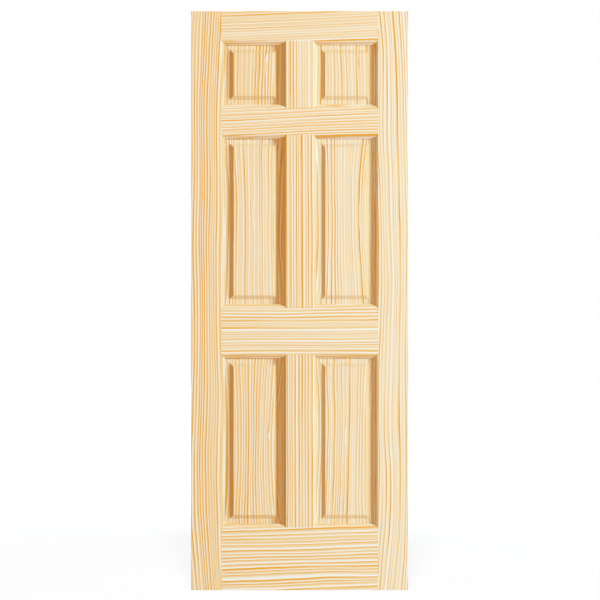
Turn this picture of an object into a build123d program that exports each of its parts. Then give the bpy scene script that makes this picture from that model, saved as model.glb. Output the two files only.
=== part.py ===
"""Six-panel interior door slab in clear pine, framed with stiles, rails and mullions round raised panels.

X runs across the door from the hinge edge, Y through its thickness with the front towards -Y,
and Z up from the bottom edge. All sizes are in millimetres.
"""

import os

from build123d import *

# Slab
door_width = 762.0
door_height = 2032.0
door_thickness = 35.0
edge_round = 1.2  # eased arris along the two outer edges of each stile

# Flat faces of the framing boards, between their moulded edges
stile_face = 106.0
mullion_face = 95.0
top_rail_face = 104.0
frieze_rail_face = 95.0
lock_rail_face = 165.0
bottom_rail_face = 220.0
top_opening = 235.0  # height of the two small openings; the four tall ones share the rest

# Sticking, the ovolo moulding and panel groove worked along every inner edge
sticking_width = 12.0
sticking_depth = 8.8
quirk_depth = 2.0  # step from the flat face down to the ovolo
quirk_ledge = 1.4
lower_fillet = 3.8  # flat between the ovolo and the edge of the lip
groove_width = 7.0
groove_depth = 14.0  # from the edge of the lip
tenon_end_gap = 0.8  # glue space left at the bottom of the groove

# Raised panels, the same on both faces
panel_thickness = 19.0
panel_slip = 0.25  # play of the tongue on each side of its groove
panel_float = 2.0  # room at the bottom of the groove for the panel to swell
hip_width = 17.5  # gently sloped margin beside the sticking
hip_rise = 1.2
shoulder_width = 13.5  # steeper slope from the margin up to the flat field

half_thickness = door_thickness / 2
tenon_reach = groove_depth - sticking_width - tenon_end_gap  # past the arris of the flat face
tongue_reach = groove_depth - sticking_width - panel_float

# Where each flat face and each opening starts, across the door and up it
opening_width = (door_width - 2 * stile_face - mullion_face) / 2
left_opening_x = stile_face
mullion_x = left_opening_x + opening_width
right_opening_x = mullion_x + mullion_face
right_stile_x = right_opening_x + opening_width

rail_faces = bottom_rail_face + lock_rail_face + frieze_rail_face + top_rail_face
tall_opening = (door_height - rail_faces - top_opening) / 2
lower_opening_z = bottom_rail_face
lock_rail_z = lower_opening_z + tall_opening
middle_opening_z = lock_rail_z + lock_rail_face
frieze_rail_z = middle_opening_z + tall_opening
top_opening_z = frieze_rail_z + frieze_rail_face
top_rail_z = top_opening_z + top_opening


def sticking_waste():
    """What the moulding cutters take off one edge, drawn outwards from the arris of the flat face."""
    ovolo_top = half_thickness - quirk_depth
    ovolo_foot = half_thickness - sticking_depth
    ovolo_end = sticking_width - lower_fillet
    with BuildSketch() as waste:
        with BuildLine():
            Polyline((0, half_thickness), (0, ovolo_top), (quirk_ledge, ovolo_top))
            TangentArc((quirk_ledge, ovolo_top), (ovolo_end, ovolo_foot), tangent=(1, 0))
            Polyline(
                (ovolo_end, ovolo_foot),
                (sticking_width, ovolo_foot),
                (sticking_width, half_thickness),
                (0, half_thickness),
            )
        make_face()
        mirror(about=Plane.XZ)
        with Locations((sticking_width - groove_depth / 2, 0)):
            Rectangle(groove_depth, groove_width)
    return waste.sketch


def board_section(face_width, moulded_low=False, moulded_high=False):
    """Section across a framing board whose flat face runs from 0 to face_width, with sticking beyond it."""
    low = -sticking_width if moulded_low else 0
    high = face_width + sticking_width if moulded_high else face_width
    with BuildSketch() as section:
        with Locations(((low + high) / 2, 0)):
            Rectangle(high - low, door_thickness)
        if moulded_high:
            with Locations((face_width, 0)):
                add(sticking_waste(), mode=Mode.SUBTRACT)
        if moulded_low:
            with Locations(Rotation(0, 0, 180)):
                add(sticking_waste(), mode=Mode.SUBTRACT)
    return section.sketch


def across_plane(x, z):
    """Plane whose own X runs up the door and whose normal runs across it, for the section of a rail."""
    return Plane(origin=(x, 0, z), x_dir=(0, 0, 1), z_dir=(1, 0, 0))


left_stile_section = board_section(stile_face, moulded_high=True)
right_stile_section = board_section(stile_face, moulded_low=True)
mullion_section = board_section(mullion_face, moulded_low=True, moulded_high=True)

# Each rail as its name, where its flat face starts, its height and its section
rails = [
    ("bottom_rail", 0.0, bottom_rail_face, board_section(bottom_rail_face, moulded_high=True)),
    ("lock_rail", lock_rail_z, lock_rail_face, board_section(lock_rail_face, True, True)),
    ("frieze_rail", frieze_rail_z, frieze_rail_face, board_section(frieze_rail_face, True, True)),
    ("top_rail", top_rail_z, top_rail_face, board_section(top_rail_face, moulded_low=True)),
]

# Each row of openings as its name, where it starts and its height
rows = [
    ("lower", lower_opening_z, tall_opening),
    ("middle", middle_opening_z, tall_opening),
    ("top", top_opening_z, top_opening),
]


def make_stile(section, x, outer_x):
    """Full-height board with its two outer long edges eased."""
    with BuildPart() as stile:
        with BuildSketch(Plane.XY):
            with Locations((x, 0)):
                add(section)
        extrude(amount=door_height)
        outer_edges = stile.edges().filter_by(Axis.Z).filter_by_position(Axis.X, outer_x, outer_x)
        fillet(outer_edges, edge_round)
    return stile


def make_rail(section, z, face_height):
    """Board across the door, its ends coped over the stiles' sticking with stub tenons in their grooves."""
    with BuildPart() as rail:
        with BuildSketch(across_plane(stile_face - tenon_reach, z)):
            add(section)
        extrude(amount=right_stile_x - stile_face + 2 * tenon_reach)
        with BuildSketch(Plane.XY.offset(z - sticking_width)):
            add(left_stile_section)
            with Locations((right_stile_x, 0)):
                add(right_stile_section)
        extrude(amount=face_height + 2 * sticking_width, mode=Mode.SUBTRACT)
    return rail


def make_mullion(z, height):
    """Short upright between two rails, coped over their sticking at both ends."""
    with BuildPart() as mullion:
        with BuildSketch(Plane.XY.offset(z - tenon_reach)):
            with Locations((mullion_x, 0)):
                add(mullion_section)
        extrude(amount=height + 2 * tenon_reach)
        for _, rail_z, _, rail_section in rails:
            with BuildSketch(across_plane(left_opening_x, rail_z)):
                add(rail_section)
            extrude(amount=right_stile_x - left_opening_x, mode=Mode.SUBTRACT)
    return mullion


def make_panel(x, z, height):
    """Panel with a tongue all round and two slopes rising to a flat field on each face."""
    middle = Plane(origin=(x + opening_width / 2, 0, z + height / 2), x_dir=(1, 0, 0), z_dir=(0, -1, 0))
    tongue_half = groove_width / 2 - panel_slip
    # Each level of the raised face as its height above the middle and its distance in from the arris
    levels = [
        (tongue_half, sticking_width),
        (tongue_half + hip_rise, sticking_width + hip_width),
        (panel_thickness / 2, sticking_width + hip_width + shoulder_width),
    ]
    with BuildPart() as panel:
        with BuildSketch(middle):
            Rectangle(opening_width + 2 * tongue_reach, height + 2 * tongue_reach)
        extrude(amount=tongue_half, both=True)
        for level, inset in levels:
            with BuildSketch(middle.offset(level)):
                Rectangle(opening_width - 2 * inset, height - 2 * inset)
        loft(ruled=True)
        mirror(about=Plane.XZ)
    return panel


pieces = {
    "left_stile": make_stile(left_stile_section, 0, 0),
    "right_stile": make_stile(right_stile_section, right_stile_x, door_width),
}
for name, z, face_height, section in rails:
    pieces[name] = make_rail(section, z, face_height)
for row, z, height in rows:
    pieces[f"{row}_mullion"] = make_mullion(z, height)
    pieces[f"{row}_left_panel"] = make_panel(left_opening_x, z, height)
    pieces[f"{row}_right_panel"] = make_panel(right_opening_x, z, height)

os.makedirs("parts", exist_ok=True)
for name, piece in pieces.items():
    piece.part.label = name
    export_step(piece.part, f"parts/{name}.step")
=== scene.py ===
# %% [markdown]
# # A six-panel pine door
# The door slab already exists as exact solids: two stiles, four rails, three mullions and six raised
# panels. This lesson loads them as a fixed frame and gives every board a finer mesh with eased edges and
# its own pine grain. Nothing is moved or resized, so each new piece takes its place and size from the
# solid it stands for.

import math

import bmesh
import bpy
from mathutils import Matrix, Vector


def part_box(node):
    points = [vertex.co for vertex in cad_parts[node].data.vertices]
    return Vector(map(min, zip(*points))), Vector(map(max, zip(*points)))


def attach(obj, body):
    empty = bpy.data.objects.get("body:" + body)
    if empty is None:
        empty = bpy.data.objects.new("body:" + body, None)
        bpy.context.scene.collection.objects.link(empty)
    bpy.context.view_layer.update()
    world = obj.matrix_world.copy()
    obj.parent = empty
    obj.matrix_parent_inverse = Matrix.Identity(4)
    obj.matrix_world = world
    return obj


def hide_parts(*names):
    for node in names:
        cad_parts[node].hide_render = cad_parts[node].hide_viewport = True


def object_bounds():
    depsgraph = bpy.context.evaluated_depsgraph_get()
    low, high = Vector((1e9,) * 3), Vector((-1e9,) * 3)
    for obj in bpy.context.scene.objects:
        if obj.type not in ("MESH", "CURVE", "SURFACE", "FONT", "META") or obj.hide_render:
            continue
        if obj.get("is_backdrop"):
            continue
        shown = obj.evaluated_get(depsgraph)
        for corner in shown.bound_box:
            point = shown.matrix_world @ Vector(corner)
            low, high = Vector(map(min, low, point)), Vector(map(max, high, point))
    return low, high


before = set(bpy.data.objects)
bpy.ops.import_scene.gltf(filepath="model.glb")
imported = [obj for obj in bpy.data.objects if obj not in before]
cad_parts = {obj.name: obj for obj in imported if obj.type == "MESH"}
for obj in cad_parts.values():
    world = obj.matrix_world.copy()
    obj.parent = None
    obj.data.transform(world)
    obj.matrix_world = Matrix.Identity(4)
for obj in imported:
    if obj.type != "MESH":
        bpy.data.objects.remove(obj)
cad_low, cad_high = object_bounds()
scene = bpy.context.scene
scene.view_settings.view_transform = "Standard"
print("boards:", len(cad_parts), "door size in metres:", [round(v, 4) for v in cad_high - cad_low])

# %% [markdown]
# ## The moulded edge
# Joiners call the moulding on the inner edge of a stile or rail the sticking. From the flat face it steps
# down a small quirk, swells out in a rounded ovolo and ends in a thin lip over the groove that holds the
# panel. A rail is coped, which means that its end is cut to the reverse of that same moulding, with a stub
# tenon for the groove. One path of depth and reach therefore describes both edges, and it is worked out
# once from the cutter's sizes.

# %% Sizes of the sticking, in metres
MM = 0.001
half_thickness = (cad_high.y - cad_low.y) / 2
sticking_width = 12.0 * MM
sticking_depth = 8.8 * MM
quirk_depth = 2.0 * MM
quirk_ledge = 1.4 * MM
lower_fillet = 3.8 * MM
groove_width = 7.0 * MM
groove_depth = 14.0 * MM
tenon_end_gap = 0.8 * MM
tenon_reach = groove_depth - sticking_width - tenon_end_gap
groove_top = half_thickness - groove_width / 2
step = 0.02 * MM  # how far apart two levels lie where the path runs level with the face
ovolo_steps = 18


def sticking_path():
    """Points down the moulded edge: depth below the face, and reach beyond the arris of the face."""
    across = sticking_width - lower_fillet - quirk_ledge
    down = sticking_depth - quirk_depth
    radius = (across**2 + down**2) / (2 * down)
    turn = math.atan2(across, radius - down)
    path = [(quirk_depth, 0.0)]
    for i in range(ovolo_steps + 1):
        angle = turn * i / ovolo_steps
        depth = quirk_depth + step + radius * (1 - math.cos(angle))
        path.append((depth, quirk_ledge + radius * math.sin(angle)))
    path.append((sticking_depth + 2 * step, sticking_width))
    path.append((groove_top, sticking_width))
    return path


print("points down the sticking:", len(sticking_path()))

# %% [markdown]
# ## A board as a stack of outlines
# Look at a board of this door from the front and slice it parallel to its face. Every slice is a
# rectangle: wider where the lip stands out, narrower at the groove, shorter at the coped shoulders. The
# raised panels follow the same rule. So a board is a list of levels from front to back, each with how far
# its four sides lie inside the board's box. Corners then come out as true mitres, which booleans would
# make hard to keep clean. Sharp corners never look like wood, so each arris is eased near the face.

# %% Levels of a framing board
outer_round = 1.2 * MM
arris_round = 0.25 * MM
shoulder_round = 0.2 * MM
end_round = 0.6 * MM
round_steps = 4


def eased(depth, radius):
    """How far a rounded arris of that radius draws the side in, at a depth below the face."""
    if depth >= radius:
        return 0.0
    return radius - math.sqrt(radius**2 - (radius - depth) ** 2)


def framing_levels():
    """Depth, reach of the sticking and whether the level lies in the groove, from the face to the middle."""
    depths = {0.0}
    for radius in (outer_round, arris_round, shoulder_round, end_round):
        for i in range(1, round_steps + 1):
            depths.add(round(radius * (1 - math.cos(math.radians(90) * i / round_steps)), 7))
    levels = [(depth, 0.0, False) for depth in sorted(depths)]
    levels += [(depth, reach, False) for depth, reach in sticking_path()]
    levels.append((groove_top + step, 0.0, True))
    return levels


def side_inset(side, depth, reach, in_groove):
    """How far one side of a framing board lies inside its box at that level."""
    if side == "stuck":
        inset = groove_depth if in_groove else sticking_width - reach
        return inset + eased(depth, arris_round)
    if side == "coped":
        return 0.0 if in_groove else tenon_reach + reach + eased(depth, shoulder_round)
    return eased(depth, outer_round if side == "outer" else end_round)


def mirrored(levels):
    """Levels of the front half, given as depth and four insets, with those of the back half after them."""
    front = [(-half_thickness + depth, insets) for depth, insets in levels]
    back = [(half_thickness - depth, insets) for depth, insets in reversed(levels)]
    return front + back


def framing_board(left, right, bottom, top):
    """Levels of a stile, rail or mullion from the kind of each of its sides."""
    sides = (left, right, bottom, top)
    levels = framing_levels()
    return mirrored([(level[0], [side_inset(side, *level) for side in sides]) for level in levels])


print("levels in a framing board:", len(framing_board("outer", "stuck", "end", "end")))

# %% [markdown]
# ## The raised panel
# A raised panel floats in its grooves so that it can swell. A thin tongue runs all round, then a broad hip
# rises gently from the lip of the sticking, and a steeper shoulder climbs to the flat field in the middle.
# Both faces are alike. The shoulder's upper corner is sanded round, which a few extra levels describe.

# %% Levels of a raised panel
panel_thickness = 19.0 * MM
panel_slip = 0.25 * MM
panel_float = 2.0 * MM
hip_width = 17.5 * MM
hip_rise = 1.2 * MM
shoulder_width = 13.5 * MM
field_round = 2.0 * MM
tongue_reach = groove_depth - sticking_width - panel_float


def raised_panel():
    """Levels of a panel, with the same insets on all four sides."""
    tongue_depth = groove_top + panel_slip
    hip_depth = tongue_depth - hip_rise
    field_depth = half_thickness - panel_thickness / 2
    lip_inset = tongue_reach + sticking_width
    field_inset = lip_inset + hip_width + shoulder_width
    slope = math.atan2(hip_depth - field_depth, shoulder_width)
    start = field_inset + field_round * math.tan(slope / 2)
    levels = []
    for i in range(round_steps + 1):
        angle = slope * i / round_steps
        depth = field_depth + field_round * (1 - math.cos(angle))
        levels.append((depth, start - field_round * math.sin(angle)))
    levels.append((hip_depth, lip_inset + hip_width))
    levels.append((tongue_depth, lip_inset))
    levels.append((tongue_depth + step, 0.0))
    return mirrored([(depth, [inset] * 4) for depth, inset in levels])


print("levels in a raised panel:", len(raised_panel()))

# %% [markdown]
# ## Short calls for node trees
# Node trees take many lines when every node, setting and link is written out. A few helpers keep the trees
# below readable: one adds a node with its inputs, one is a Math node, and the rest are built from those
# two. An input may be a number, a colour or the output of another node.

# %% Helpers for node trees


def add_node(tree, kind, inputs=None, **settings):
    """Adds a node, applies its settings, and fills each named input with a value or a link."""
    node = tree.nodes.new(kind)
    for name, value in settings.items():
        setattr(node, name, value)
    for key, value in (inputs or {}).items():
        if isinstance(value, bpy.types.NodeSocket):
            tree.links.new(value, node.inputs[key])
        else:
            node.inputs[key].default_value = value
    return node


def calc(tree, operation, *values):
    """A Math node on numbers or sockets."""
    return add_node(tree, "ShaderNodeMath", dict(enumerate(values)), operation=operation).outputs[0]


def product(tree, first, *others):
    """Several values multiplied together."""
    for value in others:
        first = calc(tree, "MULTIPLY", first, value)
    return first


def total(tree, first, *others):
    """Several values added up."""
    for value in others:
        first = calc(tree, "ADD", first, value)
    return first


def split(tree, vector):
    """The X, Y and Z of a vector."""
    return add_node(tree, "ShaderNodeSeparateXYZ", {0: vector}).outputs


# %% [markdown]
# ## One Geometry Nodes tree for every board
# The rule is the same for all fifteen pieces, so one node tree makes them. It turns the line of levels into
# a curve, sweeps a square along it, and then moves each corner to the box side less the inset of its level.
# The insets travel as named attributes. Curve to Mesh keeps the quads in order and closes both faces.

# %% The stacked outline tree: inputs and the swept square
stack = bpy.data.node_groups.new("stacked_outline", "GeometryNodeTree")
stack.interface.new_socket("Levels", in_out="INPUT", socket_type="NodeSocketGeometry")
stack_inputs = {}
for name, kind in (("Low Corner", "Vector"), ("High Corner", "Vector"), ("Finish", "Material")):
    socket = stack.interface.new_socket(name, in_out="INPUT", socket_type=f"NodeSocket{kind}")
    stack_inputs[name] = socket.identifier
stack.interface.new_socket("Board", in_out="OUTPUT", socket_type="NodeSocketGeometry")

given = add_node(stack, "NodeGroupInput").outputs
square = add_node(stack, "GeometryNodeCurvePrimitiveQuadrilateral", {"Width": 2.0, "Height": 2.0}).outputs[0]
corner = split(stack, add_node(stack, "GeometryNodeInputPosition").outputs[0])
for attribute, axis in (("on_right", "X"), ("on_top", "Y")):
    on_side = calc(stack, "GREATER_THAN", corner[axis], 0.0)
    square = add_node(
        stack,
        "GeometryNodeStoreNamedAttribute",
        {"Geometry": square, "Name": attribute, "Value": on_side},
        data_type="FLOAT",
        domain="POINT",
    ).outputs[0]
spine = add_node(stack, "GeometryNodeMeshToCurve", {0: given["Levels"]}).outputs[0]
sweep = {"Curve": spine, "Profile Curve": square, "Fill Caps": True}
swept = add_node(stack, "GeometryNodeCurveToMesh", sweep).outputs[0]
print("inputs of the stacked outline:", ", ".join(stack_inputs))

# %% The stacked outline tree: corners moved to their places


def named(attribute):
    """The value of a named attribute on the points of a board."""
    return add_node(stack, "GeometryNodeInputNamedAttribute", {"Name": attribute}).outputs["Attribute"]


def side_place(low_side, high_side, low_inset, high_inset, choice):
    """Place of a corner along one axis: the low side plus its inset, or the high side less its inset."""
    near = calc(stack, "ADD", low_side, named(low_inset))
    far = calc(stack, "SUBTRACT", high_side, named(high_inset))
    span = calc(stack, "SUBTRACT", far, near)
    return calc(stack, "MULTIPLY_ADD", named(choice), span, near)


low = split(stack, given["Low Corner"])
high = split(stack, given["High Corner"])
corner_place = {
    "X": side_place(low["X"], high["X"], "inset_left", "inset_right", "on_right"),
    "Y": named("level"),
    "Z": side_place(low["Z"], high["Z"], "inset_bottom", "inset_top", "on_top"),
}
place = add_node(stack, "ShaderNodeCombineXYZ", corner_place).outputs[0]
placed = add_node(stack, "GeometryNodeSetPosition", {"Geometry": swept, "Position": place}).outputs[0]
realized = add_node(stack, "GeometryNodeRealizeInstances", {0: placed}).outputs[0]
dressed = {"Geometry": realized, "Material": given["Finish"]}
finished = add_node(stack, "GeometryNodeSetMaterial", dressed).outputs[0]
add_node(stack, "NodeGroupOutput", {0: finished})
print("nodes in the stacked outline tree:", len(stack.nodes))

# %% [markdown]
# ## Running the tree and keeping a plain mesh
# The object that carries the modifier is only a line of points, one a level. After the tree has run, the
# evaluated result is turned into an ordinary mesh and its normals are made to point outwards. Edges sharper
# than a set angle are marked, so that the ovolo shades round while the quirk stays crisp. The flat faces,
# and the panels with their plain slopes, are shaded flat, because smooth shading would bend their light.

# %% From levels to a finished piece
smooth_angle = math.radians(24)
flat_facing = 0.999  # a face that looks this straight to the front or back is a flat one

# Values that only the tree needs, so they come off the finished mesh
passing_values = ("on_right", "on_top", "level", "inset_left", "inset_right", "inset_bottom", "inset_top")


def level_line(node, levels):
    """A line of points, one a level, that carries the levels and their insets as attributes."""
    count = len(levels)
    line = bpy.data.meshes.new(f"{node}_levels")
    line.from_pydata([(0, 0, i * MM) for i in range(count)], [(i, i + 1) for i in range(count - 1)], [])
    columns = {"level": [level for level, _ in levels]}
    for i, side in enumerate(("left", "right", "bottom", "top")):
        columns[f"inset_{side}"] = [insets[i] for _, insets in levels]
    for name, values in columns.items():
        line.attributes.new(name, "FLOAT", "POINT").data.foreach_set("value", values)
    maker = bpy.data.objects.new(f"{node}_maker", line)
    scene.collection.objects.link(maker)
    return maker


def run_tree(maker, node, finish):
    """The plain mesh that the stacked outline tree makes of a line of levels, in the box of its node."""
    modifier = maker.modifiers.new("stacked_outline", "NODES")
    modifier.node_group = stack
    box_low, box_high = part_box(node)
    modifier[stack_inputs["Low Corner"]] = box_low
    modifier[stack_inputs["High Corner"]] = box_high
    modifier[stack_inputs["Finish"]] = finish
    mesh = bpy.data.meshes.new_from_object(maker.evaluated_get(bpy.context.evaluated_depsgraph_get()))
    bpy.data.objects.remove(maker)
    for name in passing_values:
        if name in mesh.attributes:
            mesh.attributes.remove(mesh.attributes[name])
    return mesh


def build_board(node, levels, finish, rounded):
    """The finished mesh object that stands for one solid of the frame."""
    mesh = run_tree(level_line(node, levels), node, finish)
    mesh.name = f"{node}_board"
    shape = bmesh.new()
    shape.from_mesh(mesh)
    bmesh.ops.recalc_face_normals(shape, faces=shape.faces)
    shape.to_mesh(mesh)
    shape.free()
    mesh.set_sharp_from_angle(angle=smooth_angle)
    smooth = [rounded and abs(face.normal.y) < flat_facing for face in mesh.polygons]
    mesh.polygons.foreach_set("use_smooth", smooth)
    piece = bpy.data.objects.new(f"{node}_board", mesh)
    scene.collection.objects.link(piece)
    return piece


# %% [markdown]
# ## Pine grain from growth rings
# Pine shows pale spring wood and orange summer wood, one pair a year. A plank is a slice through those
# rings, so the grain is made as rings in space: the distance of a point from the tree's pith, divided by
# the width of a year. Straight lines, leaning lines and flames on the face, and arcs on the end grain, all
# follow from where the pith lies and how the trunk leans and wanders. A flat stripe texture would be
# easier, but it breaks at every edge. One node group holds the rule, and each board gives it its own values.

# %% The pine grain group: inputs
pine = bpy.data.node_groups.new("pine_grain", "ShaderNodeTree")
pine_inputs = {
    "Place": "Vector",  # across, through and along the board, from its middle, in metres
    "End Cut": "Float",  # 1 on the ends of the board
    "Moulded": "Float",  # 1 on moulded edges and raised slopes
    # painted shade: a darker, warmer colour multiplied in on the moulded faces
    "Moulded Painted Shade": "Color",
    "Year": "Float",  # width of a year's growth in metres
    "Pith Across": "Float",
    "Pith Depth": "Float",
    "Lean": "Float",  # how the lines slant along the board
    "End Drift": "Float",  # how far they bend aside at the ends
    "Half Length": "Float",
    "Wander": "Float",  # long slow waves
    "Ripple": "Float",  # short waves
    "Waist": "Float",  # how much the lines gather at half length
    "Waist Across": "Float",
    "Eye": "Vector",  # a spot that the lines part around, as over a buried branch
    "Eye Years": "Float",
    "Summer": "Float",  # strength of the summer wood
    "Sparse": "Float",  # high where only a few years are strong
    "Warmth": "Float",
    "Seed": "Float",
}
for name, kind in pine_inputs.items():
    pine.interface.new_socket(name, in_out="INPUT", socket_type=f"NodeSocket{kind}")
for name, kind in (("Colour", "Color"), ("Roughness", "Float"), ("Height", "Float")):
    pine.interface.new_socket(name, in_out="OUTPUT", socket_type=f"NodeSocket{kind}")
print("inputs of the pine grain:", ", ".join(pine_inputs))

# %% [markdown]
# ## Short calls for finishes
# The grain needs noise that is drawn out along the board, soft steps, mixed colours and colours given the
# way a screen shows them. Each becomes a helper of a few lines, so that the cells below read as a recipe.

# %% Helpers for finishes


def vector_calc(tree, operation, first, second):
    """A Vector Math node on two vectors."""
    node = add_node(tree, "ShaderNodeVectorMath", {0: first, 1: second}, operation=operation)
    return node.outputs["Value" if operation == "DOT_PRODUCT" else "Vector"]


def noise(tree, place, waves, detail, seed):
    """Noise from 0 to 1, with so many waves a metre across, through and along the grain."""
    scaled = vector_calc(tree, "MULTIPLY", place, waves)
    inputs = {"Vector": scaled, "W": seed, "Scale": 1.0, "Detail": detail, "Roughness": 0.5}
    return add_node(tree, "ShaderNodeTexNoise", inputs, noise_dimensions="4D").outputs[0]


def ramp(tree, value, start, end, low=0.0, high=1.0):
    """A soft step from low to high as the value goes from start to end."""
    inputs = {"Value": value, "From Min": start, "From Max": end, "To Min": low, "To Max": high}
    return add_node(tree, "ShaderNodeMapRange", inputs, interpolation_type="SMOOTHSTEP").outputs[0]


def mix(tree, factor, first, second, blend="MIX"):
    """Two colours mixed by a factor."""
    inputs = {0: factor, 6: first, 7: second}
    return add_node(tree, "ShaderNodeMix", inputs, data_type="RGBA", blend_type=blend).outputs[2]


def centred(tree, value, amount):
    """A value from 0 to 1 moved to lie about zero, times an amount."""
    return product(tree, calc(tree, "SUBTRACT", value, 0.5), amount)


def colour(red, green, blue):
    """A display colour of 0 to 255 as the linear colour that a shader takes."""
    parts = [c / 255 for c in (red, green, blue)]
    return [c / 12.92 if c <= 0.04045 else ((c + 0.055) / 1.055) ** 2.4 for c in parts] + [1.0]


# %% [markdown]
# ## Where the rings lie
# No trunk is a straight pole. Its rings lean, bend aside towards the ends of a board, gather at a waist and
# wander in long and short waves, and each of these shifts a point sideways before its distance from the
# pith is taken. A buried branch adds part of a year around one spot. Years are not equally wide either, so
# a slow noise over the count of years moves them closer and further apart. The whole part of that count
# then names the year, and the fraction is the season within it.

# %% The pine grain group: shift of a point
long_waves = (6.0, 6.0, 1.5)
short_waves = (18.0, 18.0, 6.0)
drift_power = 4.0  # high, so that only the ends bend aside

own = add_node(pine, "NodeGroupInput").outputs
seed = own["Seed"]
spot = split(pine, own["Place"])
along = calc(pine, "DIVIDE", spot["Z"], own["Half Length"])
drift = product(pine, calc(pine, "POWER", calc(pine, "ABSOLUTE", along), drift_power), own["End Drift"])
lean = product(pine, spot["Z"], own["Lean"])
wander = centred(pine, noise(pine, own["Place"], long_waves, 1.0, seed), own["Wander"])
ripple = centred(pine, noise(pine, own["Place"], short_waves, 2.0, seed), own["Ripple"])
middle = calc(pine, "SUBTRACT", 1.0, product(pine, along, along))
gather = product(pine, calc(pine, "SUBTRACT", spot["X"], own["Waist Across"]), own["Waist"], middle)
shift = calc(pine, "SUBTRACT", total(pine, drift, lean, wander, ripple), gather)
print("nodes for the shift of a point:", len(pine.nodes))

# %% The pine grain group: year and season
eye_sharpness = (240.0, 20.0, 26.0)  # high where the eye is narrow: across, through and along the grain
uneven_rate = 0.31
uneven_years = 1.6

from_pith = calc(pine, "SUBTRACT", calc(pine, "SUBTRACT", spot["X"], shift), own["Pith Across"])
through = calc(pine, "SUBTRACT", spot["Y"], own["Pith Depth"])
through_square = product(pine, through, through)
radius = calc(pine, "SQRT", calc(pine, "MULTIPLY_ADD", from_pith, from_pith, through_square))
years = calc(pine, "DIVIDE", radius, own["Year"])
from_eye = vector_calc(pine, "SUBTRACT", own["Place"], own["Eye"])
from_eye = vector_calc(pine, "MULTIPLY", from_eye, eye_sharpness)
eye_distance = vector_calc(pine, "DOT_PRODUCT", from_eye, from_eye)
eye = calc(pine, "EXPONENT", product(pine, eye_distance, -1.0))
years = calc(pine, "MULTIPLY_ADD", eye, own["Eye Years"], years)
slow_count = {"W": calc(pine, "MULTIPLY_ADD", years, uneven_rate, seed), "Scale": 1.0}
uneven = add_node(pine, "ShaderNodeTexNoise", slow_count, noise_dimensions="1D").outputs[0]
years = total(pine, years, centred(pine, uneven, uneven_years))
year = calc(pine, "FLOOR", years)
season = calc(pine, "SUBTRACT", years, year)
print("nodes for the rings:", len(pine.nodes))

# %% [markdown]
# ## Good years and bad years
# On a real board some lines are strong and wide and others are hardly there, and a line may fade along the
# board and come back. Each year draws its own strength and width by chance, from a white noise that only
# depends on the year's number. A noise along each year fades it, and broad zones across the board make one
# part of it livelier than another.

# %% The pine grain group: strength of each year
zone_waves = (16.0, 16.0, 0.7)
zone_seed = 31.0
fade_waves = (1.0, 1.0, 2.5)
# Two ranges, each as the noise at its quiet and its lively end, and the strength there
zone_range = (0.36, 0.64, 0.45, 1.3)
fade_range = (0.32, 0.66, 0.45, 1.35)
year_spacing = 7.3  # sets the noise of one year far from that of the next
least_vigour = 0.15
luck_share = 1.15

year_number = {"W": total(pine, year, seed)}
luck = add_node(pine, "ShaderNodeTexWhiteNoise", year_number, noise_dimensions="1D").outputs
line_width = add_node(pine, "ShaderNodeSeparateColor", {0: luck["Color"]}).outputs["Green"]
good_years = calc(pine, "POWER", luck["Value"], own["Sparse"])
vigour = calc(pine, "MULTIPLY_ADD", good_years, luck_share, least_vigour)
zone = noise(pine, own["Place"], zone_waves, 1.0, total(pine, seed, zone_seed))
lively = ramp(pine, zone, *zone_range)
year_line = {"X": product(pine, year, year_spacing), "Z": spot["Z"]}
along_year = add_node(pine, "ShaderNodeCombineXYZ", year_line).outputs[0]
fade = ramp(pine, noise(pine, along_year, fade_waves, 1.0, seed), *fade_range)
vigour = product(pine, vigour, lively, fade, own["Summer"])
print("nodes with the luck of each year:", len(pine.nodes))

# %% The pine grain group: spring and summer within a year
# Times within a year run from 0 to 1. A year with a wide line ends its spring and starts its summer sooner.
spring_rise = (0.0, 0.05)
spring_fall = 0.12
spring_ends = (-0.24, 0.56)  # change with the width of the line, and the end for the narrowest one
summer_starts = (-0.36, 0.76)
summer_full = 0.86
summer_fall = (0.94, 1.0)
moulded_loss = -0.8  # how much of its lines a moulded face loses
pale_by_vigour = (0.6, 0.75)  # change with the vigour of the year, and the least

spring_end = calc(pine, "MULTIPLY_ADD", line_width, *spring_ends)
spring_fade = ramp(pine, season, spring_fall, spring_end, 1.0, 0.0)
spring = product(pine, ramp(pine, season, *spring_rise), spring_fade)
summer_start = calc(pine, "MULTIPLY_ADD", line_width, *summer_starts)
summer_fade = ramp(pine, season, *summer_fall, 1.0, 0.0)
summer = product(pine, ramp(pine, season, summer_start, summer_full), summer_fade)
plainer = calc(pine, "MULTIPLY_ADD", own["Moulded"], moulded_loss, 1.0)
pale = product(pine, spring, plainer, calc(pine, "MULTIPLY_ADD", vigour, *pale_by_vigour))
strength = product(pine, summer, vigour, plainer)
print("nodes with the seasons:", len(pine.nodes))

# %% [markdown]
# ## Colour and relief of pine
# Bare pine has a pale straw ground, warmer in streaks. Right after the line of a year comes a nearly white
# line of spring wood, and at the end of the year an orange line of summer wood, deeper where it is strong.
# End grain takes up more light, so it is darker. Moulded edges are cut across the rings, so their lines blur
# together and they show a plainer ground. They are also darkened and warmed with painted shade, which stands
# in for the shade in the mouldings. Summer wood is harder, so it stands a hair proud of the sanded face and
# is a little smoother, and fine fibres give the rest of the relief.

# %% The pine grain group: colour
ground_pale = colour(242, 234, 207)
ground_tan = colour(238, 207, 149)
spring_cream = colour(243, 246, 243)
summer_honey = colour(242, 195, 84)
summer_amber = colour(233, 172, 44)
end_tone = (0.86, 0.76, 0.62, 1.0)
no_tone = (1.0, 1.0, 1.0, 1.0)
fibre_waves = (1400.0, 1400.0, 26.0)
streak_waves = (330.0, 330.0, 2.5)
fibre_warmth = 0.25
streak_warmth = 1.6
amber_by_strength = 0.8
amber_by_fibre = 0.3
end_cut_range = (0.7, 1.0)

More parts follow.
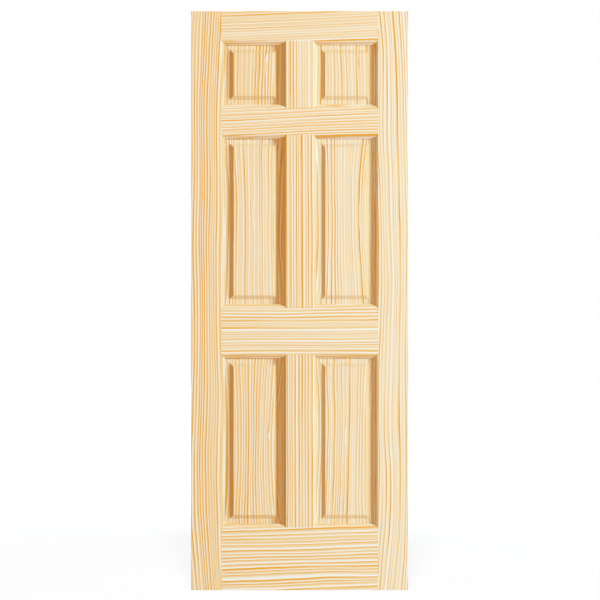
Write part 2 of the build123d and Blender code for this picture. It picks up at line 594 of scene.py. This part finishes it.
fibre = noise(pine, own["Place"], fibre_waves, 2.0, seed)
streak = noise(pine, own["Place"], streak_waves, 2.0, seed)
streaks = total(pine, centred(pine, fibre, fibre_warmth), centred(pine, streak, streak_warmth))
ground = mix(pine, total(pine, own["Warmth"], streaks), ground_pale, ground_tan)
amber = calc(pine, "MULTIPLY_ADD", strength, amber_by_strength, centred(pine, fibre, amber_by_fibre))
summer_wood = mix(pine, amber, summer_honey, summer_amber)
wood = mix(pine, strength, mix(pine, pale, ground, spring_cream), summer_wood)
end_grain = ramp(pine, own["End Cut"], *end_cut_range)
wood = mix(pine, 1.0, wood, mix(pine, end_grain, no_tone, end_tone), "MULTIPLY")
# Painted shade: the moulded faces are multiplied by a darker, warmer colour.
wood = mix(pine, own["Moulded"], wood, own["Moulded Painted Shade"], "MULTIPLY")
print("nodes with the colours:", len(pine.nodes))

# %% The pine grain group: roughness and height
plain_roughness = 0.56
fibre_roughness = 0.12
summer_roughness = -0.10  # added where the summer wood is strong
summer_height = 0.6
fibre_height = 0.4

sanded = calc(pine, "MULTIPLY_ADD", fibre, fibre_roughness, plain_roughness)
roughness = calc(pine, "MULTIPLY_ADD", strength, summer_roughness, sanded)
height = calc(pine, "MULTIPLY_ADD", strength, summer_height, product(pine, fibre, fibre_height))
add_node(pine, "NodeGroupOutput", {"Colour": wood, "Roughness": roughness, "Height": height})
print("nodes in the pine grain:", len(pine.nodes))

# %% [markdown]
# ## A finish for each board
# No two boards of a door come from the same place in a tree, so each gets its own material: the same grain
# group, with its own pith, lean, year width and warmth. The group works in the board's own directions, so
# the material first puts object coordinates in the order across, through and along the grain. Upright
# boards have the grain along Z and rails along X. A face that leans counts as moulded. On a board with one
# plain long edge only the inner half does, so that the outer edge of a stile keeps its grain.

# %% Where a board is moulded
# Painted shade: these colours darken and warm the moulded edges and the panel slopes. They stand in for the
# shade in the mouldings and keep the edges that face the lamps from burning out.
upright_sticking_painted_shade = (0.75, 0.70, 0.65, 1.0)
rail_sticking_painted_shade = (0.98, 0.91, 0.82, 1.0)
shoulder_painted_shade = (0.87, 0.75, 0.57, 1.0)
level_painted_shade_share = 0.45  # how much of that tone the level shoulders of a panel take
slope_start = 0.15  # sine of the lean at which a face begins to count as moulded
slope_full = 0.34


def moulded_share(tree, sides, upright, facing, local):
    """1 on the moulded edges or raised slopes of a board, and 0 on its flat faces."""
    across = "X" if upright else "Z"
    share = ramp(tree, calc(tree, "ABSOLUTE", facing[across]), slope_start, slope_full)
    low_side, high_side = sides[:2] if upright else sides[2:]
    if low_side != high_side:
        inward = 1.0 if high_side == "stuck" else -1.0
        inner_half = calc(tree, "GREATER_THAN", product(tree, local[across], inward), 0.0)
        share = product(tree, share, inner_half)
    # Painted shade: the level shoulders of a panel take part of the darker tone too.
    if "raised" in sides:
        level = ramp(tree, calc(tree, "ABSOLUTE", facing["Z"]), slope_start, slope_full, 0.0, level_painted_shade_share)
        share = calc(tree, "MAXIMUM", share, level)
    return share


# %% One material a board
bump_strength = 0.15
bump_distance = 0.4 * MM
bare_wood_specular = 0.25


def board_finish(node, sides, **grain):
    """Bare sanded pine for one board, with the grain along its length."""
    box_low, box_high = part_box(node)
    centre = (box_low + box_high) / 2
    size = box_high - box_low
    upright = "rail" not in node
    across, lengthwise = ("X", "Z") if upright else ("Z", "X")
    material = bpy.data.materials.new(f"pine_{node}")
    material.use_nodes = True
    tree = material.node_tree
    shader = tree.nodes["Principled BSDF"]
    where = add_node(tree, "ShaderNodeTexCoord").outputs
    moved = add_node(tree, "ShaderNodeMapping", {"Vector": where["Object"], "Location": -centre}).outputs[0]
    local = split(tree, moved)
    facing = split(tree, where["Normal"])
    ordered = {"X": local[across], "Y": local["Y"], "Z": local[lengthwise]}
    tone = upright_sticking_painted_shade if upright else rail_sticking_painted_shade
    inputs = {
        "Place": add_node(tree, "ShaderNodeCombineXYZ", ordered).outputs[0],
        "End Cut": calc(tree, "ABSOLUTE", facing[lengthwise]),
        "Moulded": moulded_share(tree, sides, upright, facing, local),
        "Moulded Painted Shade": shoulder_painted_shade if "raised" in sides else tone,
        "Half Length": (size.z if upright else size.x) / 2,
    }
    for name, value in grain.items():
        inputs[name.replace("_", " ").title()] = value
    across_share = abs(grain["pith_across"]) / math.hypot(grain["pith_across"], grain["pith_depth"])
    inputs["Year"] = grain["year"] * across_share  # so that year is the spacing of the lines on the face
    made = add_node(tree, "ShaderNodeGroup", inputs, node_tree=pine).outputs
    relief = {"Strength": bump_strength, "Distance": bump_distance, "Height": made["Height"]}
    bump = add_node(tree, "ShaderNodeBump", relief)
    tree.links.new(made["Colour"], shader.inputs["Base Color"])
    tree.links.new(made["Roughness"], shader.inputs["Roughness"])
    tree.links.new(bump.outputs[0], shader.inputs["Normal"])
    shader.inputs["Specular IOR Level"].default_value = bare_wood_specular
    return material


# %% [markdown]
# ## Choosing each board's grain
# These numbers are read from the look of each board: how far apart its lines lie, which way they lean,
# where they drift towards an edge, how strong the summer wood is and how warm the board looks. A pith far
# to one side gives straight lines, and a pith close behind the face gives flames. Panels of one tree are
# much alike, so the two taller pairs share their waist and their eye crosswise.

# %% The framing boards and their grain
grain = {
    "left_stile": dict(
        year=0.0098, pith_across=-0.42, pith_depth=0.30, end_drift=0.016, wander=0.055, ripple=0.006,
        summer=1.55, sparse=0.7, warmth=0.78, seed=3.1,
    ),
    "right_stile": dict(
        year=0.0105, pith_across=-0.50, pith_depth=0.34, end_drift=-0.020, wander=0.055, ripple=0.006,
        summer=1.95, sparse=0.7, warmth=0.22, seed=8.4,
    ),
    "top_rail": dict(
        year=0.0094, pith_across=-0.38, pith_depth=0.28, lean=0.035, wander=0.02, ripple=0.006,
        summer=1.45, sparse=1.2, warmth=0.50, seed=12.7,
    ),
    "frieze_rail": dict(
        year=0.0098, pith_across=0.40, pith_depth=0.12, lean=0.04, wander=0.02, ripple=0.006,
        summer=1.9, sparse=0.7, warmth=0.40, seed=17.2,
    ),
    "lock_rail": dict(
        year=0.0102, pith_across=0.45, pith_depth=0.12, lean=0.008, wander=0.02, ripple=0.006,
        summer=1.4, sparse=1.0, warmth=0.50, seed=21.9,
    ),
    "bottom_rail": dict(
        year=0.0130, pith_across=-0.45, pith_depth=0.12, lean=0.035, wander=0.03, ripple=0.007,
        summer=1.5, sparse=0.5, warmth=0.60, seed=26.5,
    ),
    "top_mullion": dict(
        year=0.0105, pith_across=-0.40, pith_depth=0.10, wander=0.012, ripple=0.004,
        summer=1.4, sparse=0.8, warmth=0.38, seed=31.3,
    ),
    "middle_mullion": dict(
        year=0.0108, pith_across=-0.40, pith_depth=0.10, wander=0.014, ripple=0.004,
        summer=1.3, sparse=0.6, warmth=0.52, seed=36.8,
    ),
    "lower_mullion": dict(
        year=0.0108, pith_across=-0.40, pith_depth=0.10, wander=0.014, ripple=0.004,
        summer=1.5, sparse=0.6, warmth=0.66, seed=41.6,
    ),
}

# %% The panels and their grain
any_panel = dict(year=0.0114, pith_depth=0.05, wander=0.03, eye_years=0.6, sparse=1.4)
small_panel = dict(any_panel, pith_across=-0.35, ripple=0.010, eye=(0.043, 0, 0.035))
tall_panel = dict(any_panel, ripple=0.012)
slim_waist = dict(tall_panel, pith_across=-0.32, waist=0.12, waist_across=0.01, eye=(-0.002, 0, 0.02))
deep_waist = dict(tall_panel, pith_across=-0.35, waist=0.22, waist_across=-0.02, eye=(0.05, 0, 0.02))
grain["top_left_panel"] = dict(small_panel, summer=1.5, warmth=0.68, seed=46.1)
grain["top_right_panel"] = dict(small_panel, summer=1.0, warmth=0.42, seed=51.4)
grain["middle_left_panel"] = dict(slim_waist, summer=2.1, warmth=0.43, seed=56.9)
grain["middle_right_panel"] = dict(deep_waist, summer=1.6, warmth=0.34, seed=61.7)
grain["lower_left_panel"] = dict(deep_waist, summer=1.25, warmth=0.72, seed=66.2)
grain["lower_right_panel"] = dict(slim_waist, summer=1.1, warmth=0.42, seed=71.8)
print("boards with a grain of their own:", len(grain))

# %% [markdown]
# ## The fifteen boards
# Each kind of board differs only in what its four sides are: an outer edge, a plain end, a stuck edge or a
# coped end. Panels are raised on all four. Every finished piece rides on the door's one body and stands in
# for its solid, which is hidden.

# %% Make the boards
mullion_sides = ("stuck", "stuck", "coped", "coped")
framing = {
    "left_stile": ("outer", "stuck", "end", "end"),
    "right_stile": ("stuck", "outer", "end", "end"),
    "bottom_rail": ("coped", "coped", "end", "stuck"),
    "lock_rail": ("coped", "coped", "stuck", "stuck"),
    "frieze_rail": ("coped", "coped", "stuck", "stuck"),
    "top_rail": ("coped", "coped", "stuck", "end"),
    "top_mullion": mullion_sides,
    "middle_mullion": mullion_sides,
    "lower_mullion": mullion_sides,
}
for node in grain:
    sides = framing.get(node, ("raised",) * 4)
    levels = framing_board(*sides) if node in framing else raised_panel()
    finish = board_finish(node, sides, **grain[node])
    piece = build_board(node, levels, finish, node in framing)
    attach(piece, "root")
    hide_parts(node)
    print(piece.name, "faces:", len(piece.data.polygons), "size:", [round(v, 4) for v in piece.dimensions])

# %% [markdown]
# ## Floor and background
# The slab stands on a plain pale floor in front of white. The world is white to the camera but dimmer and
# orange as a light, like a room that bounces light off wood, so the shaded mouldings turn orange rather
# than grey. The floor is a diffuse surface with some added light for the camera, which lifts it nearly to
# white and leaves the door's soft shadow. For all other rays that added light is warm and dim. Light Path
# tells the two apart.

# %% Floor
floor_half = 14.0
floor_level = cad_low.z - 0.2 * MM
floor_grey = (0.36, 0.36, 0.36, 1.0)
floor_shown = (0.65, 0.755, 0.835, 1.0)
floor_bounce = (0.30, 0.12, 0.0, 1.0)
floor_light = (0.8, 4.0, 0.92, 1.2)  # from near the door to far off, in metres, and the strengths there


def seen_directly(tree):
    """1 where the camera, a reflection or a clear surface looks straight at this, and 0 for other light."""
    path = add_node(tree, "ShaderNodeLightPath").outputs
    direct = calc(tree, "MAXIMUM", path["Is Camera Ray"], path["Is Glossy Ray"])
    return calc(tree, "MAXIMUM", direct, path["Is Transmission Ray"])


corners = [(x * floor_half, y * floor_half, floor_level) for x, y in ((-1, -1), (1, -1), (1, 1), (-1, 1))]
floor_mesh = bpy.data.meshes.new("floor")
floor_mesh.from_pydata(corners, [], [(0, 1, 2, 3)])
floor = bpy.data.objects.new("floor", floor_mesh)
scene.collection.objects.link(floor)
floor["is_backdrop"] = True

floor_finish = bpy.data.materials.new("pale_floor")
floor_finish.use_nodes = True
tree = floor_finish.node_tree
tree.nodes.clear()
floor_place = add_node(tree, "ShaderNodeTexCoord").outputs["Object"]
away = add_node(tree, "ShaderNodeVectorMath", {0: floor_place}, operation="LENGTH").outputs["Value"]
brightness = ramp(tree, away, *floor_light)
glow = mix(tree, seen_directly(tree), floor_bounce, floor_shown)
lift = add_node(tree, "ShaderNodeEmission", {"Color": glow, "Strength": brightness}).outputs[0]
matt = add_node(tree, "ShaderNodeBsdfDiffuse", {"Color": floor_grey}).outputs[0]
both = add_node(tree, "ShaderNodeAddShader", {0: matt, 1: lift}).outputs[0]
add_node(tree, "ShaderNodeOutputMaterial", {"Surface": both})
floor_mesh.materials.append(floor_finish)
print("floor at z:", round(floor_level, 4))

# %% World
white = (1.0, 1.0, 1.0, 1.0)
fill_colour = (0.68, 0.385, 0.13, 1.0)
world = bpy.data.worlds.new("studio")
scene.world = world
world.use_nodes = True
tree = world.node_tree
tree.nodes.clear()
sky = mix(tree, seen_directly(tree), fill_colour, white)
backdrop = add_node(tree, "ShaderNodeBackground", {"Color": sky}).outputs[0]
add_node(tree, "ShaderNodeOutputWorld", {"Surface": backdrop})
print("fill light:", fill_colour[:3])

# %% [markdown]
# ## Light
# The mouldings read by soft light that rakes across the door from one side and a little from above: an edge
# towards it catches a bright line and an edge away from it throws a shadow on to the panel. Each face is
# lit from its own right-hand side. The lamps are cool and the fill is orange, and on a flat face the two
# add up to about plain white light. One low lamp for all would burn out the outer edge of the stile nearest
# to it and shade both columns of panels alike. Light linking solves that: each lamp lights only its own
# boards, at an angle that suits them. The lamps stand far off, so the light is even from top to bottom, and
# they are hidden from reflections, because bare sanded wood shows no lamps. One more lamp overhead lights
# the top edge, and one in front lights only the floor, where the door's shadow falls behind the door. Each
# lamp's power follows from how bright it should make a face that is square to it.

# %% Helpers for lamps
door_centre = (cad_low + cad_high) / 2
cool_light = (0.60, 1.0, 1.29)
plain_light = (1.0, 1.0, 1.0)


def soft_lamp(name, place, width, height, share, tint=cool_light):
    """A rectangular lamp aimed at the middle of the door, that bright on a face square to it there."""
    lamp = bpy.data.lights.new(name, "AREA")
    lamp.shape = "RECTANGLE"
    lamp.size = width
    lamp.size_y = height
    lamp.color = tint
    holder = bpy.data.objects.new(name, lamp)
    scene.collection.objects.link(holder)
    holder.location = place
    holder.visible_glossy = False
    reach = door_centre - holder.location
    lamp.energy = share * math.pi**2 * reach.length_squared
    holder.rotation_euler = reach.to_track_quat("-Z", "Y").to_euler()
    print(name, "at", [round(v, 2) for v in place], "power:", round(lamp.energy))
    return holder


def light_only(lamp, targets):
    """Lights only these objects with the lamp. Everything still throws its shadow on them."""
    linked = bpy.data.collections.new(f"{lamp.name}_targets")
    for target in targets:
        linked.objects.link(target)
    lamp.light_linking.receiver_collection = linked


# %% Raking lamps for the boards
lamp_distance = 16.0
lamp_height = 4.2
lamp_tall = 2.8
face_share = 0.553  # brightness of a flat face under its lamp, the fill not counted
front = -1
back = 1
panels = [node for node in grain if node not in framing]
left_panels = [node for node in panels if "left" in node]
right_panels = [node for node in panels if "right" in node]

# Each lamp as its name, the face it lights, its angle to that face in degrees, its width and its boards
lamp_plan = (
    ("frame_lamp", front, 25.0, 1.4, [node for node in framing if node != "right_stile"]),
    ("right_stile_lamp", front, 42.0, 1.4, ["right_stile"]),
    ("left_panel_lamp", front, 16.0, 2.6, left_panels),
    ("right_panel_lamp", front, 24.0, 3.2, right_panels),
    ("back_frame_lamp", back, 25.0, 1.4, [node for node in framing if node != "left_stile"]),
    ("left_stile_lamp", back, 42.0, 1.4, ["left_stile"]),
    ("back_panel_lamp", back, 20.0, 3.2, panels),
)
for name, side, degrees, width, nodes in lamp_plan:
    angle = math.radians(degrees)
    aside = door_centre.x - side * lamp_distance * math.cos(angle)
    place = (aside, side * lamp_distance * math.sin(angle), lamp_height)
    lamp = soft_lamp(name, place, width, lamp_tall, face_share / math.sin(angle))
    light_only(lamp, [bpy.data.objects[f"{node}_board"] for node in nodes])

# %% Lamps for the top edge and the floor
top_share = 0.12
top_lamp_size = 3.2
floor_share = 0.42
floor_lamp_size = 1.6
floor_lamp_place = (door_centre.x, -6.0, 10.4)
top_lamp_place = (door_centre.x, 0.0, door_centre.z + lamp_distance)
soft_lamp("top_lamp", top_lamp_place, top_lamp_size, top_lamp_size, top_share)
floor_lamp = soft_lamp(
    "floor_lamp", floor_lamp_place, floor_lamp_size, floor_lamp_size, floor_share, plain_light
)
light_only(floor_lamp, [floor])

# %% [markdown]
# ## Camera
# The door is seen square on from far away: its sides stay parallel and neither edge shows. A long lens does
# that. The focal length follows from how many millimetres of the door one pixel covers, and the camera is
# moved a few millimetres so that the slab sits where it does in the picture.

# %% Long lens in front of the door
image_pixels = 600
door_metres_a_pixel = 0.0035095
door_middle_pixel = (299.6, 300.67)
camera_distance = 6.0
camera = bpy.data.cameras.new("camera")
camera.lens = camera.sensor_width * camera_distance / (image_pixels * door_metres_a_pixel)
viewer = bpy.data.objects.new("camera", camera)
scene.collection.objects.link(viewer)
viewer.location = (
    door_centre.x + (image_pixels / 2 - door_middle_pixel[0]) * door_metres_a_pixel,
    cad_low.y - camera_distance,
    door_centre.z + (door_middle_pixel[1] - image_pixels / 2) * door_metres_a_pixel,
)
viewer.rotation_euler = (math.radians(90), 0, 0)
scene.camera = viewer
print("lens:", round(camera.lens, 2), "camera at", [round(v, 4) for v in viewer.location])

# %% [markdown]
# ## Check the size
# The finished boards have to fill the same box as the solids.

# %% Compare the boxes
new_low, new_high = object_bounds()
differences = [abs(v) for v in (*(new_low - cad_low), *(new_high - cad_high))]
print("largest difference of the boxes in mm:", round(max(differences) / MM, 3))
